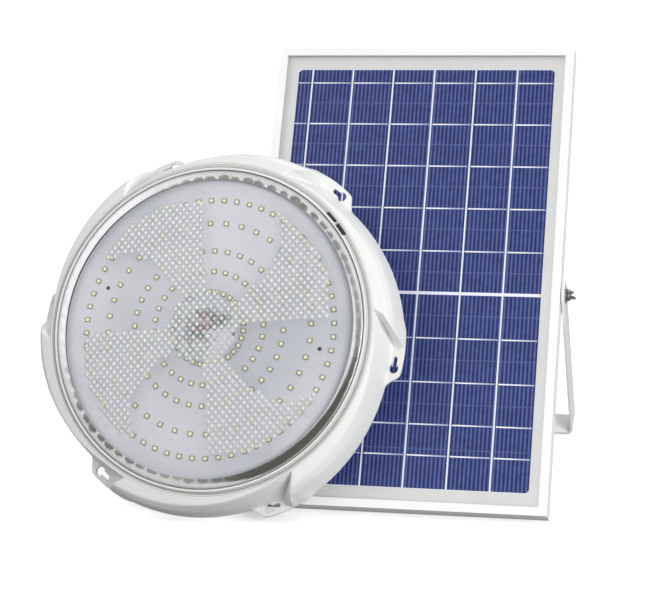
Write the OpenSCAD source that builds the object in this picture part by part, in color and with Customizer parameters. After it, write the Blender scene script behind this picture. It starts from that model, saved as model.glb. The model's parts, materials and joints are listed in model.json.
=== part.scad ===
// Solar ceiling light kit: a round LED lamp with six keyhole ears and a framed
// solar panel that stands on a swinging U-bracket. Millimetres throughout.
// The floor is z = 0, +Z is up, -Y is the side the panel and the lamp face.

/* [Panel] */
// Overall width of the frame
panel_w = 223; // [180:1:300]
// Overall height of the frame
panel_h = 350; // [260:1:500]
// Depth of the frame rails
panel_d = 17; // [14:1:35]
// Lean of the panel back from upright, degrees
panel_tilt = 41.4; // [20:0.1:60]
// Width of the front lip of the frame
lip_w = 6.2; // [4:0.1:10]
// Thickness of the outer wall of a rail
rail_wall = 1.5; // [1:0.1:2.5]
// Width of the flange along the back of a rail
flange_w = 12; // [8:1:20]

/* [Solar cells] */
// Thickness of the front glass
glass_t = 3.2; // [2:0.1:4]
// Bare border between the frame edge and the cells, left side
cell_left = 15; // [10:0.5:20]
// Bare border between the frame edge and the cells, top side
cell_top = 16.2; // [10:0.1:20]
// Spacing of the upright gaps between cells
cell_pitch = 31.1; // [20:0.1:52]
// Width of the first, narrow column of cells
first_col = 10.3; // [5:0.1:31]
// Width of the last column of cells
last_col = 26.8; // [5:0.1:31]
// Width of an upright gap between cells
cell_gap = 1.3; // [0.5:0.1:3]
// Height of the upper row of cells
upper_row = 172.5; // [80:0.5:200]
// Height of the lower row of cells
lower_row = 142.5; // [80:0.5:200]
// Gap between the two rows
row_gap = 2.4; // [1:0.1:4]
// Distance between busbar ribbons in the upper row
ribbon_pitch = 32.8; // [20:0.1:40]

/* [Bracket] */
// Width of the bracket strap
strap_w = 20; // [12:1:30]
// Thickness of the bracket strap
strap_t = 2; // [1.5:0.1:4]
// Pivot to the outer face of the cross-bar
arm_len = 127.9; // [80:0.1:180]
// Angle of the arms from straight down, degrees
arm_swing = 14.94; // [0:0.1:60]
// Height of the pivot above the lower edge of the frame
pivot_up = 163; // [100:1:250]
// Distance of the pivot from the back of the frame
pivot_in = 5.9; // [5:0.1:20]
// Radius of the clamp bolt
bolt_r = 3; // [2.5:0.5:5]
// Distance between the two holes in the cross-bar
foot_hole_gap = 120; // [60:1:180]
// Radius of the holes in the cross-bar
foot_hole_r = 3.25; // [2:0.05:5]

/* [Lamp] */
// Radius to the tip of an ear
ear_r = 138.4; // [100:0.1:200]
// Radius of the wide end of a lobe
lobe_r = 136.3; // [100:0.1:200]
// Radius of the narrow end of a lobe
lobe_end_r = 129.9; // [90:0.1:190]
// Radius of the keyhole circle
keyhole_ring_r = 132.7; // [90:0.1:190]
// Radius of the wide part of a keyhole
keyhole_r = 3.4; // [2:0.1:6]
// Half width of the narrow part of a keyhole
slot_r = 1.6; // [1:0.1:3]
// Turn from the wide to the narrow end of a keyhole, degrees
slot_turn = 3.1; // [1:0.1:6]
// Thickness of an ear
ear_t = 3; // [2:0.1:5]
// Radius of the opening in the bezel
bezel_r = 115.4; // [80:0.1:180]
// Outer radius of the bezel
bezel_out_r = 121.4; // [80:0.1:190]
// Height of the front of the bezel
bezel_z = 32.6; // [20:0.1:45]
// Radius of the edge of the cover face
face_r = 108.2; // [70:0.1:170]
// Height of the edge of the cover face
face_z = 33.8; // [20:0.1:50]
// Height of the crown of the cover
crown_z = 39; // [25:0.5:60]
// Thickness of the cover
cover_t = 2; // [1.2:0.1:4]

/* [Light board] */
// Radius of the light board
board_r = 109.5; // [60:0.5:160]
// Height of the front of the light board
board_z = 29; // [15:0.5:45]
// Thickness of the light board
board_t = 1.6; // [1:0.1:3]
// Side of one light chip
chip = 3.5; // [2:0.1:6]
// Radius of the back plate
plate_r = 118; // [80:1:160]

/* [Cables] */
// Radius of the cable jacket
cable_r = 2.2; // [1.5:0.1:4]
// Radius of the coiled panel cable
coil_r = 50; // [30:1:80]

/* [Hidden] */
$fn = 72;
half_w = panel_w / 2;
lam_back = panel_d - 1.4 - glass_t - 0.6;
lam_front = panel_d - 1.45;
cell_z = lam_back + 0.3;
glass_back = lam_front - glass_t;
col_x = [
    cell_left,
    for (i = [0:5]) cell_left + first_col + cell_gap + i * cell_pitch
];
col_w = [
    first_col,
    for (i = [0:4]) cell_pitch - cell_gap,
    last_col
];
upper_y = panel_h - cell_top - upper_row;
lower_y = upper_y - row_gap - lower_row;
strap_x = half_w + 0.65 + strap_t;
pivot_y = pivot_up * sin(panel_tilt) - pivot_in * cos(panel_tilt);
pivot_z = pivot_up * cos(panel_tilt) + pivot_in * sin(panel_tilt);
foot_cut = strap_t + 3;
// Ribbon positions down the lower row.
low_ribbons = [32.6, 65.2, 96.2, 118.8];
// Posts that carry the light board: radius and direction.
posts = [[84.6, 0.5], [84.6, 170], [66.5, 229]];
pack_x = -76;
gland_r = 88;
gland_a = 222;
box_low = 303;
// Bend radius of the cable's tail behind the panel.
tail_r = 12;
lamp_at = [-130.338, 56.132, 108.946];
lamp_rot = [54.292, 5.533, -8.677];
// Heights of the cover's seat and of the lobes where they meet the bezel.
seat_z = 25.6;
lobe_z = 30;
// Directions of the two catches.
catch_a = [47.2, 52.9];
// Puts the middle of the whole kit's footprint at x = 0, y = 0.
shift = [73.65, -95.56, 0];

// ---- placing ----

// Panel frame: x across, y up the panel from its lower edge, z out of its face.
module on_panel() {
    translate(shift) rotate([90 - panel_tilt, 0, 0]) children();
}

// Bracket frame: pivot axis at the origin along x, arms straight down.
module on_bracket() {
    translate(shift + [0, pivot_y, pivot_z]) rotate([arm_swing, 0, 0]) children();
}

// Lamp frame: back plane at z = 0, first keyhole on +x, z out of the cover.
module on_lamp() {
    translate(shift + lamp_at) rotate(lamp_rot) children();
}

module ring6(start = 0) {
    for (i = [0:5]) rotate([0, 0, start + 60 * i]) children();
}

// ---- panel frame ----

// Section of a rail, x inwards from the outer face, y from back to front.
module rail_section() {
    square([rail_wall, panel_d]);
    translate([0, panel_d - 1.4]) square([lip_w, 1.4]);
    translate([0, lam_back - 1.3]) square([lip_w, 1.3]);
    translate([lip_w - 1.2, 0.7]) square([1.2, lam_back - 1.4]);
    square([flange_w, 1.4]);
}

// A straight rail of the given length, mitred at both ends.
module rail(len) {
    intersection() {
        translate([-len / 2, 0, 0]) rotate([90, 0, 90]) linear_extrude(len) rail_section();
        translate([0, 0, -1]) linear_extrude(panel_d + 2)
            polygon([
                [-len / 2, 0],
                [len / 2, 0],
                [len / 2 - flange_w - 1, flange_w + 1],
                [-len / 2 + flange_w + 1, flange_w + 1]
            ]);
    }
}

module nut_hole(side) {
    translate([side * half_w, pivot_up, pivot_in]) rotate([0, 90, 0])
        cylinder(h = 2 * rail_wall + 2, r = 4.5, center = true);
}

module frame_bottom_rail() {
    color([0.95, 0.95, 0.95]) on_panel() rail(panel_w);
}

module frame_top_rail() {
    color([0.95, 0.95, 0.95]) on_panel()
        translate([0, panel_h, 0]) rotate([0, 0, 180]) rail(panel_w);
}

module frame_left_rail() {
    color([0.95, 0.95, 0.95]) on_panel() difference() {
        translate([-half_w, panel_h / 2, 0]) rotate([0, 0, -90]) rail(panel_h);
        nut_hole(-1);
    }
}

module frame_right_rail() {
    color([0.95, 0.95, 0.95]) on_panel() difference() {
        translate([half_w, panel_h / 2, 0]) rotate([0, 0, 90]) rail(panel_h);
        nut_hole(1);
    }
}

// Elbows pushed into the hollow rail ends.
module corner_key() {
    z0 = 1.5;
    k_h = lam_back - 1.3 - z0 - 0.1;
    a = rail_wall + 0.1;
    k_w = lip_w - 1.2 - a - 0.1;
    translate([a, a, z0]) cube([22, k_w, k_h]);
    translate([a, a, z0]) cube([k_w, 22, k_h]);
}

module corner_keys() {
    color([0.75, 0.75, 0.78]) on_panel() {
        translate([-half_w, 0, 0]) corner_key();
        translate([half_w, 0, 0]) mirror([1, 0, 0]) corner_key();
        translate([-half_w, panel_h, 0]) mirror([0, 1, 0]) corner_key();
        translate([half_w, panel_h, 0]) mirror([1, 0, 0]) mirror([0, 1, 0]) corner_key();
    }
}

// ---- laminate ----

module sheet(inset, z0, t) {
    translate([-half_w + inset, inset, z0])
        cube([panel_w - 2 * inset, panel_h - 2 * inset, t]);
}

module panel_glass() {
    color([0.85, 0.9, 0.95, 0.3]) on_panel() sheet(2.6, glass_back, glass_t);
}

module backsheet() {
    color([0.88, 0.88, 0.88]) on_panel() sheet(2.6, lam_back, 0.28);
}

module edge_seal() {
    color([0.85, 0.85, 0.85]) on_panel() difference() {
        sheet(rail_wall + 0.05, lam_back + 0.05, glass_t + 0.45);
        sheet(2.55, lam_back - 1, glass_t + 3);
    }
}

// One cell. Corners listed in cut are cut off, 0 lower left and then anticlockwise.
module cell(w, h, cut = []) {
    c = 2;
    linear_extrude(0.15) difference() {
        square([w, h]);
        for (i = cut)
            translate([i == 0 || i == 3 ? 0 : w, i < 2 ? 0 : h])
                rotate(45) square(c * sqrt(2), center = true);
    }
}

// Only the four outer corners of each block of cells are cut.
module solar_cells() {
    color([0.18, 0.22, 0.46]) on_panel()
        for (i = [0:6]) {
            translate([col_x[i] - half_w, upper_y, cell_z])
                cell(col_w[i], upper_row, i == 0 ? [3] : i == 6 ? [2] : []);
            translate([col_x[i] - half_w, lower_y, cell_z])
                cell(col_w[i], lower_row, i == 0 ? [0] : i == 6 ? [1] : []);
        }
}

// Flat copper ribbons soldered across the cells.
module busbar_ribbons() {
    color([0.9, 0.92, 1]) on_panel() {
        for (i = [0:6], j = [0:4])
            translate([col_x[i] - half_w + 0.6, upper_y + upper_row - 11.1 - j * ribbon_pitch, cell_z + 0.15])
                cube([col_w[i] - 1.2, 1, 0.1]);
        for (i = [0:6], d = low_ribbons)
            translate([col_x[i] - half_w + 0.6, lower_y + lower_row - d - 0.5, cell_z + 0.15])
                cube([col_w[i] - 1.2, 1, 0.1]);
    }
}

// ---- panel back ----

module rivet_nut() {
    difference() {
        union() {
            translate([0, 0, -4.6]) cylinder(h = 4.6, r = 4.4);
            cylinder(h = 0.6, r = 6);
        }
        translate([0, 0, -5]) cylinder(h = 6, r = bolt_r + 0.05);
    }
}

module rivet_nuts() {
    color([0.7, 0.7, 0.72]) on_panel() {
        translate([half_w, pivot_up, pivot_in]) rotate([0, 90, 0]) rivet_nut();
        translate([-half_w, pivot_up, pivot_in]) rotate([0, -90, 0]) rivet_nut();
    }
}

module junction_box() {
    color([0.12, 0.12, 0.13]) on_panel() difference() {
        translate([-30, box_low, -2]) cube([60, 32, lam_back + 2]);
        translate([-28, box_low + 2, -3]) cube([56, 28, lam_back + 1]);
        for (x = [-26.3, 26.3]) translate([x, box_low + 3.7, -3]) cylinder(h = 8, r = 1);
        for (x = [-26.3, 26.3]) translate([x, box_low + 28.3, -3]) cylinder(h = 8, r = 1);
        translate([20, box_low - 1, 4]) rotate([-90, 0, 0]) cylinder(h = 4, r = 4.05);
    }
    color([0.12, 0.12, 0.13]) on_panel() box_posts();
}

// Screw posts in the corners of the junction box.
module box_posts() {
    for (x = [-26.3, 26.3], y = [box_low + 3.7, box_low + 28.3])
        translate([x, y, -2]) difference() {
            cylinder(h = lam_back + 1.5, r = 2.2);
            translate([0, 0, -1]) cylinder(h = 8, r = 1);
        }
}

module junction_box_lid() {
    color([0.14, 0.14, 0.15]) on_panel() difference() {
        translate([-30.5, box_low - 0.5, -4.05]) cube([61, 33, 2]);
        for (x = [-26.3, 26.3], y = [box_low + 3.7, box_low + 28.3])
            translate([x, y, -5]) cylinder(h = 4, r = 1.1);
    }
}

module lid_screws() {
    color([0.6, 0.6, 0.62]) on_panel()
        for (x = [-26.3, 26.3], y = [box_low + 3.7, box_low + 28.3])
            translate([x, y, 0]) {
                translate([0, 0, -5.3]) cylinder(h = 1.2, r = 2);
                translate([0, 0, -4.2]) cylinder(h = 9, r = 0.95);
            }
}

module terminal_block() {
    color([0.2, 0.2, 0.2]) on_panel() difference() {
        translate([-14, box_low + 10, lam_back - 8.5]) cube([28, 12, 6]);
        for (x = [-7, 7]) translate([x, box_low + 16, 0]) cylinder(h = 5, r = 2.4);
    }
}

module bypass_diode() {
    color([0.15, 0.15, 0.15]) on_panel() {
        translate([-4, box_low + 25.5, lam_back - 6]) rotate([0, 90, 0]) cylinder(h = 8, r = 2.2);
        translate([-12, box_low + 25.5, lam_back - 6]) rotate([0, 90, 0]) cylinder(h = 24, r = 0.5);
    }
}

module panel_gland() {
    color([0.1, 0.1, 0.1]) on_panel() difference() {
        union() {
            translate([20, box_low - 9, 4]) rotate([-90, 0, 0]) cylinder(h = 11.5, r = 4);
            translate([20, box_low - 3.2, 4]) rotate([-90, 0, 0]) cylinder(h = 3, r = 5.2, $fn = 6);
        }
        translate([20, box_low - 10, 4]) rotate([-90, 0, 0]) cylinder(h = 14, r = cable_r);
    }
}

// End of the bend in the cable's tail, z along the tail.
module at_tail() {
    translate([50 - coil_r + tail_r, 170 - coil_r, -tail_r]) rotate([180, 0, 0]) children();
}

// A lead from the junction box, two turns of coil and a tail to the plug.
module panel_cable() {
    cx = 20 - coil_r;
    cy = 170;
    color([0.08, 0.08, 0.08]) on_panel() translate([0, 0, 4]) {
        translate([20, cy, 0]) rotate([-90, 0, 0]) cylinder(h = box_low + 8 - cy, r = cable_r - 0.02);
        translate([cx, cy, 0]) rotate_extrude() translate([coil_r, 0]) circle(r = cable_r - 0.02);
        translate([cx, cy, 0]) rotate_extrude()
            translate([coil_r - 2 * cable_r + 0.3, 0]) circle(r = cable_r - 0.02);
        translate([cx, cy - coil_r, 0]) rotate([0, 90, 0]) cylinder(h = 30, r = cable_r - 0.02);
        translate([cx + 30, cy - coil_r, -tail_r]) rotate([0, -90, -90])
            rotate_extrude(angle = 90) translate([tail_r, 0]) circle(r = cable_r - 0.02);
        at_tail() cylinder(h = 14, r = cable_r - 0.02);
    }
}

module cable_ties() {
    cx = 20 - coil_r;
    color([0.9, 0.9, 0.88]) on_panel()
        for (a = [60, 200]) translate([cx, 170, 4]) rotate([0, 0, a])
            translate([coil_r - cable_r + 0.15, 0, 0]) difference() {
                cube([2 * cable_r * 2 + 2.4, 3.6, 2 * cable_r + 2.4], center = true);
                cube([2 * cable_r * 2 + 0.4, 5, 2 * cable_r + 0.2], center = true);
            }
}

module panel_plug() {
    color([0.1, 0.1, 0.1]) on_panel() translate([0, 0, 4]) at_tail() translate([0, 0, 4]) {
        difference() {
            cylinder(h = 24, r = 4.6);
            translate([0, 0, -1]) cylinder(h = 12, r = cable_r);
        }
        translate([0, 0, 24]) difference() {
            cylinder(h = 10, r = 2.7);
            translate([0, 0, 1]) cylinder(h = 10, r = 1.1);
        }
    }
}

// ---- bracket ----

// U outline of the strap, x across and y down the arms.
module strap_path() {
    o = 5;
    difference() {
        union() {
            translate([-strap_x, -strap_w / 2]) square([2 * strap_x, arm_len + strap_w / 2 - o]);
            translate([-strap_x + o, arm_len - o]) square([2 * strap_x - 2 * o, o]);
            for (s = [-1, 1]) translate([s * (strap_x - o), arm_len - o]) circle(r = o);
        }
        translate([-strap_x + strap_t, -strap_w])
            square([2 * (strap_x - strap_t), arm_len + strap_w - o]);
        translate([-strap_x + o, arm_len - o - 1])
            square([2 * (strap_x - o), o - strap_t + 1]);
        for (s = [-1, 1]) translate([s * (strap_x - o), arm_len - o]) circle(r = o - strap_t);
    }
}

module u_bracket() {
    color([0.88, 0.88, 0.88]) on_bracket() difference() {
        intersection() {
            translate([0, strap_w / 2, 0]) rotate([90, 0, 0]) mirror([0, 1, 0])
                linear_extrude(strap_w) strap_path();
            union() {
                rotate([0, 90, 0]) cylinder(h = 2 * strap_x + 2, r = strap_w / 2, center = true);
                translate([-strap_x - 1, -strap_w / 2, -arm_len - 1])
                    cube([2 * strap_x + 2, strap_w, arm_len + 1]);
            }
        }
        rotate([0, 90, 0]) cylinder(h = 2 * strap_x + 2, r = bolt_r + 0.08, center = true);
        for (s = [-1, 1]) translate([s * foot_hole_gap / 2, 0, -arm_len - 1])
            cylinder(h = foot_cut, r = foot_hole_r);
    }
}

// Clamp bolt with two wings, z out from the frame face.
module wing_bolt() {
    head = strap_x - half_w + 1.15;
    translate([0, 0, -3.8]) cylinder(h = 3.8 + head + 1, r = bolt_r);
    translate([0, 0, head]) cylinder(h = 2.6, r = 4.4);
    for (s = [-1, 1]) difference() {
        translate([s * 5.4, 0, head + 2.2]) rotate([90, 0, 0])
            cylinder(h = 2, r = 3.4, center = true);
        translate([0, 0, head - 2]) cylinder(h = 2.05, r = 12);
    }
}

module wing_bolt_right() {
    color([0.65, 0.65, 0.67]) on_panel()
        translate([half_w, pivot_up, pivot_in]) rotate([0, 90, 0]) wing_bolt();
}

module wing_bolt_left() {
    color([0.65, 0.65, 0.67]) on_panel()
        translate([-half_w, pivot_up, pivot_in]) rotate([0, -90, 0]) wing_bolt();
}

module washer() {
    translate([0, 0, strap_x - half_w + 0.05]) difference() {
        cylinder(h = 1.05, r = 6);
        translate([0, 0, -1]) cylinder(h = 4, r = bolt_r + 0.08);
    }
}

module washer_right() {
    color([0.75, 0.75, 0.77]) on_panel()
        translate([half_w, pivot_up, pivot_in]) rotate([0, 90, 0]) washer();
}

module washer_left() {
    color([0.75, 0.75, 0.77]) on_panel()
        translate([-half_w, pivot_up, pivot_in]) rotate([0, -90, 0]) washer();
}

// ---- lamp housing ----

function at(r, a) = [r * cos(a), r * sin(a)];

// Outline of one sixth of the housing, from ear step to ear step.
function sixth(a) = [
    at(lobe_end_r + 0.5, a - 5.4),
    at(lobe_end_r + 2.5, a - 4.3),
    at(ear_r - 3.7, a - 3.3),
    at(ear_r - 1.1, a - 2.5),
    at(ear_r - 0.1, a - 1),
    at(ear_r, a + 5),
    at(ear_r - 0.4, a + 12),
    for (i = [0:8]) at(lobe_r + (lobe_end_r - lobe_r) * i / 8, a + 15 + i * 4.75)
];

module housing_outline() {
    polygon([for (k = [0:5]) each sixth(60 * k)]);
}

// Half section of the outside of the lobes, before the outline is cut.
module dome_section() {
    polygon([
        [0, 0], [142, 0], [142, 9], [136, 16], [133.4, 22], [130.2, 27],
        [bezel_out_r + 0.1, lobe_z], [0, lobe_z]
    ]);
}

// Open pocket that bares an ear and its keyhole, with a notch running in above it.
module pocket() {
    translate([0, 0, ear_t]) linear_extrude(40) polygon([
        at(130.4, -4), at(150, -4), at(150, 7.6), at(137.8, 7.6),
        at(131, 7.2), at(127.2, 6.6), at(127.3, -0.6)
    ]);
    translate([0, 0, 13]) linear_extrude(30) polygon([
        at(127.4, 4), at(140, 6), at(140, 9.5), at(133, 9.8),
        at(127, 11.2), at(121.9, 13.4), at(121.9, 12.2), at(124.5, 8)
    ]);
}

module keyhole() {
    translate([0, 0, -1]) linear_extrude(ear_t + 4) {
        translate([keyhole_ring_r, 0]) circle(r = keyhole_r);
        for (i = [1:4]) rotate(slot_turn * i / 4) translate([keyhole_ring_r, 0]) circle(r = slot_r);
    }
}

module lamp_housing() {
    color([0.93, 0.93, 0.91]) on_lamp() difference() {
        union() {
            difference() {
                union() {
                    linear_extrude(ear_t) housing_outline();
                    intersection() {
                        linear_extrude(lobe_z + 1, scale = 0.95) housing_outline();
                        rotate_extrude() dome_section();
                    }
                }
                translate([0, 0, -1]) cylinder(h = seat_z - 0.6, r = plate_r + 0.5);
                cylinder(h = 40, r = bezel_r - 2.8);
                translate([0, 0, seat_z]) cylinder(h = 10, r = bezel_out_r + 0.1);
            }
            ring6(30) translate([114.6, 0, 3.1]) cylinder(h = seat_z - 4, r = 3.8);
        }
        ring6() pocket();
        ring6() keyhole();
        ring6(30) translate([114.6, 0, 2]) cylinder(h = 6, r = 1.3);
        for (a = catch_a) rotate([0, 0, a]) translate([117, -2, seat_z - 5]) cube([3, 4, 6]);
    }
}

module back_plate() {
    color([0.9, 0.9, 0.88]) on_lamp() difference() {
        translate([0, 0, 0.8]) cylinder(h = 2.2, r = plate_r);
        ring6(30) translate([114.6, 0, -1]) cylinder(h = 3, r = 3);
        ring6(30) translate([114.6, 0, -1]) cylinder(h = 6, r = 1.4);
        rotate([0, 0, gland_a]) translate([gland_r, 0, -1]) cylinder(h = 6, r = 4.05);
    }
}

module back_screws() {
    color([0.6, 0.6, 0.62]) on_lamp() ring6(30) translate([114.6, 0, 0]) {
        translate([0, 0, 0.6]) cylinder(h = 1.35, r = 2.8);
        translate([0, 0, 1.9]) cylinder(h = 5.8, r = 1.28);
    }
}

// ---- cover and bezel ----

module cover_seal() {
    color([0.25, 0.25, 0.25]) on_lamp() translate([0, 0, seat_z]) difference() {
        cylinder(h = 1.3, r = bezel_out_r - 0.4);
        translate([0, 0, -1]) cylinder(h = 4, r = bezel_r + 3.6);
    }
}

// Half section of the clear cover: flange, wall, flat shoulder and crown.
module clear_cover() {
    t = cover_t;
    color([0.9, 0.93, 0.95, 0.3]) on_lamp() rotate_extrude() polygon([
        [bezel_r - 3, seat_z + 0.1], [bezel_r + 3.2, seat_z + 0.1],
        [bezel_r + 3.2, seat_z + 2], [bezel_r - 0.3, seat_z + 2],
        [bezel_r - 0.5, bezel_z - 1.6], [bezel_r - 1.6, bezel_z + 0.2],
        [face_r, face_z], [100, face_z + 1.6], [80, crown_z - 2],
        [60, crown_z - 1.1], [30, crown_z - 0.3], [0, crown_z],
        [0, crown_z - t], [30, crown_z - t - 0.3], [60, crown_z - t - 1.1],
        [80, crown_z - t - 2], [99.6, face_z + 1.6 - t], [face_r - 1, face_z - t + 0.1],
        [bezel_r - 3.2, bezel_z - 1.6], [bezel_r - 2.8, seat_z + 2]
    ]);
}

// Stepped ring that holds the cover, with two catch windows.
module bezel_ring() {
    color([0.92, 0.92, 0.9]) on_lamp() difference() {
        rotate_extrude() polygon([
            [bezel_r + 0.1, seat_z + 2.1], [bezel_r + 3.4, seat_z + 2.1],
            [bezel_r + 3.4, seat_z + 1.4], [bezel_out_r, seat_z + 1.4],
            [bezel_out_r, bezel_z - 2.3], [bezel_out_r - 1.4, bezel_z - 1.9],
            [bezel_out_r - 1.6, bezel_z - 2.6], [bezel_out_r - 3.2, bezel_z - 2.4],
            [bezel_out_r - 3.4, bezel_z - 0.8], [bezel_out_r - 4.6, bezel_z - 0.2],
            [bezel_r + 0.8, bezel_z], [bezel_r + 0.1, bezel_z - 0.6]
        ]);
        for (a = catch_a) rotate([0, 0, a])
            translate([bezel_r + 1.3, -4.6, seat_z]) cube([2.8, 9.2, 10]);
    }
}

// Two dark tongues behind the catch windows.
module catch_tongues() {
    color([0.05, 0.05, 0.05]) on_lamp()
        for (a = catch_a) rotate([0, 0, a])
            translate([bezel_r + 1.4, -4.4, seat_z + 2.1]) cube([2.6, 8.8, 2.4]);
}

// ---- light board ----

module at_posts() {
    for (p = posts) rotate([0, 0, p[1]]) translate([p[0], 0, 0]) children();
}

// Wall and posts that carry the light board.
module board_frame() {
    color([0.93, 0.93, 0.92]) on_lamp() difference() {
        translate([0, 0, 3.05]) cylinder(h = board_z - board_t - 3.1, r = board_r - 1);
        translate([0, 0, 2]) cylinder(h = 40, r = board_r - 3.5);
    }
    color([0.93, 0.93, 0.92]) on_lamp() at_posts() translate([0, 0, 3.05]) difference() {
        cylinder(h = board_z - board_t - 3.1, r = 3);
        translate([0, 0, 14]) cylinder(h = 20, r = 1.2);
    }
}

module light_board() {
    color([0.8, 0.8, 0.83]) on_lamp() difference() {
        translate([0, 0, board_z - board_t]) cylinder(h = board_t, r = board_r);
        at_posts() translate([0, 0, 20]) cylinder(h = 20, r = 1.5);
        translate([16, -3, 20]) cube([4, 6, 20]);
    }
}

// One ring of square light chips.
module chip_ring(r, n, start) {
    for (i = [0:n - 1]) rotate([0, 0, start + i * 360 / n])
        translate([r - chip / 2, -chip / 2, board_z]) cube([chip, chip, 0.9]);
}

module light_chips() {
    color([0.93, 0.92, 0.7]) on_lamp() {
        chip_ring(93.4, 60, 0.7);
        chip_ring(76.5, 40, 3.9);
        chip_ring(56.2, 36, 9);
        chip_ring(41.2, 30, 2);
        chip_ring(26.4, 30, 6.4);
    }
}

module board_screws() {
    color([0.3, 0.3, 0.3]) on_lamp() at_posts() {
        translate([0, 0, board_z + 0.02]) cylinder(h = 0.8, r = 1.7);
        translate([0, 0, board_z - 9]) cylinder(h = 9.1, r = 1.18);
    }
}

module sensor_board() {
    color([0.9, 0.9, 0.9]) on_lamp() translate([-15, -14, board_z + 0.05]) cube([30, 28, 1.2]);
}

module sensor_parts() {
    z = board_z + 1.3;
    color([0.12, 0.12, 0.12]) on_lamp() {
        translate([-11, -8, z]) cube([9, 9, 1.4]);
        translate([2, -9, z]) cube([7, 5, 1.6]);
        translate([-8, 5, z]) cube([12, 5, 1.2]);
        translate([7, 3, z]) cube([4, 8, 2]);
        translate([-13, 8, z]) cube([3, 3, 1.4]);
        translate([2, -1, z]) cube([3, 3, 1.2]);
    }
}

// ---- lamp internals ----

module battery_cells() {
    color([0.15, 0.4, 0.7]) on_lamp() for (y = [-20, 0, 20])
        translate([pack_x + 5, y, 14.2]) rotate([0, 90, 0]) cylinder(h = 65, r = 9.2);
}

module battery_holder() {
    color([0.1, 0.1, 0.1]) on_lamp() difference() {
        translate([pack_x, -33, 3.1]) cube([75, 66, 12]);
        for (y = [-20, 0, 20]) {
            translate([pack_x + 4.8, y, 14.2]) rotate([0, 90, 0]) cylinder(h = 65.4, r = 9.4);
            for (x = [1.4, 70.1]) translate([pack_x + x, y - 4.2, 9]) cube([3.5, 8.4, 12]);
        }
    }
}

// Nickel contacts at both ends of each cell.
module battery_tabs() {
    color([0.8, 0.8, 0.78]) on_lamp() for (y = [-20, 0, 20], x = [3.8, 70.4])
        translate([pack_x + x, y - 4, 9.2]) cube([0.9, 8, 8]);
}

module controller_board() {
    color([0.1, 0.35, 0.18]) on_lamp() {
        translate([18, -30, 8]) cube([58, 60, 1.6]);
        for (x = [22, 72], y = [-26, 26]) translate([x, y, 3.05]) cylinder(h = 5, r = 2.5);
    }
}

module controller_parts() {
    color([0.1, 0.1, 0.1]) on_lamp() {
        translate([28, -18, 9.65]) cube([12, 12, 2]);
        translate([48, -20, 9.65]) cylinder(h = 9, r = 5);
        translate([62, -20, 9.65]) cylinder(h = 9, r = 5);
        translate([30, 6, 9.65]) cube([14, 14, 6]);
        translate([52, 4, 9.65]) cube([8, 16, 5]);
        translate([64, 4, 9.65]) cube([8, 16, 7]);
    }
}

// Leads from the batteries and the controller.
module wire_harness() {
    color([0.7, 0.1, 0.1]) on_lamp() {
        translate([-7.8, 36, 5]) rotate([0, 90, 0]) cylinder(h = 40, r = 0.9);
        translate([-7.8, 38.4, 5]) rotate([0, 90, 0]) cylinder(h = 40, r = 0.9);
        translate([18, -1, 10.7]) cylinder(h = 16.5, r = 0.9);
        translate([18, 1.2, 10.7]) cylinder(h = 16.5, r = 0.9);
    }
}

module lamp_gland() {
    color([0.1, 0.1, 0.1]) on_lamp() rotate([0, 0, gland_a]) translate([gland_r, 0, 0]) difference() {
        union() {
            translate([0, 0, 0.1]) cylinder(h = 7, r = 4);
            translate([0, 0, 3.05]) cylinder(h = 2, r = 5.6);
        }
        translate([0, 0, -1]) cylinder(h = 12, r = cable_r);
    }
}

// Short lead behind the lamp, bent in towards the middle.
module lamp_cable() {
    r = cable_r - 0.02;
    color([0.08, 0.08, 0.08]) on_lamp() rotate([0, 0, gland_a]) translate([gland_r, 0, 0]) {
        translate([0, 0, -2]) cylinder(h = 9.5, r = r);
        translate([-8, 0, -2]) rotate([-90, 0, 0]) rotate_extrude(angle = 90)
            translate([8, 0]) circle(r = r);
        translate([-8, 0, -10]) rotate([0, -90, 0]) cylinder(h = 40, r = r);
    }
}

module lamp_socket() {
    color([0.1, 0.1, 0.1]) on_lamp() rotate([0, 0, gland_a]) translate([gland_r - 42, 0, -10])
        rotate([0, -90, 0]) difference() {
            cylinder(h = 26, r = 5);
            translate([0, 0, -1]) cylinder(h = 13, r = cable_r);
            translate([0, 0, 15]) cylinder(h = 12, r = 2.8);
        }
}

// ---- parts ----

frame_top_rail();
frame_bottom_rail();
frame_left_rail();
frame_right_rail();
corner_keys();
panel_glass();
solar_cells();
busbar_ribbons();
backsheet();
edge_seal();
rivet_nuts();
junction_box();
junction_box_lid();
lid_screws();
terminal_block();
bypass_diode();
panel_gland();
panel_cable();
cable_ties();
panel_plug();
u_bracket();
wing_bolt_right();
washer_right();
wing_bolt_left();
washer_left();
lamp_housing();
back_plate();
back_screws();
cover_seal();
clear_cover();
bezel_ring();
catch_tongues();
board_frame();
light_board();
light_chips();
board_screws();
sensor_board();
sensor_parts();
battery_cells();
battery_holder();
battery_tabs();
controller_board();
controller_parts();
wire_harness();
lamp_gland();
lamp_cable();
lamp_socket();
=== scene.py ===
"""Looks of the solar ceiling light kit: a round lamp beside a framed panel on a U-bracket.

Points are written in millimetres, in the panel's or the lamp's own frame, and make() places them in metres.
"""

import json
import math

import bmesh
import bpy
import numpy as np
from mathutils import Matrix, Vector


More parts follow.
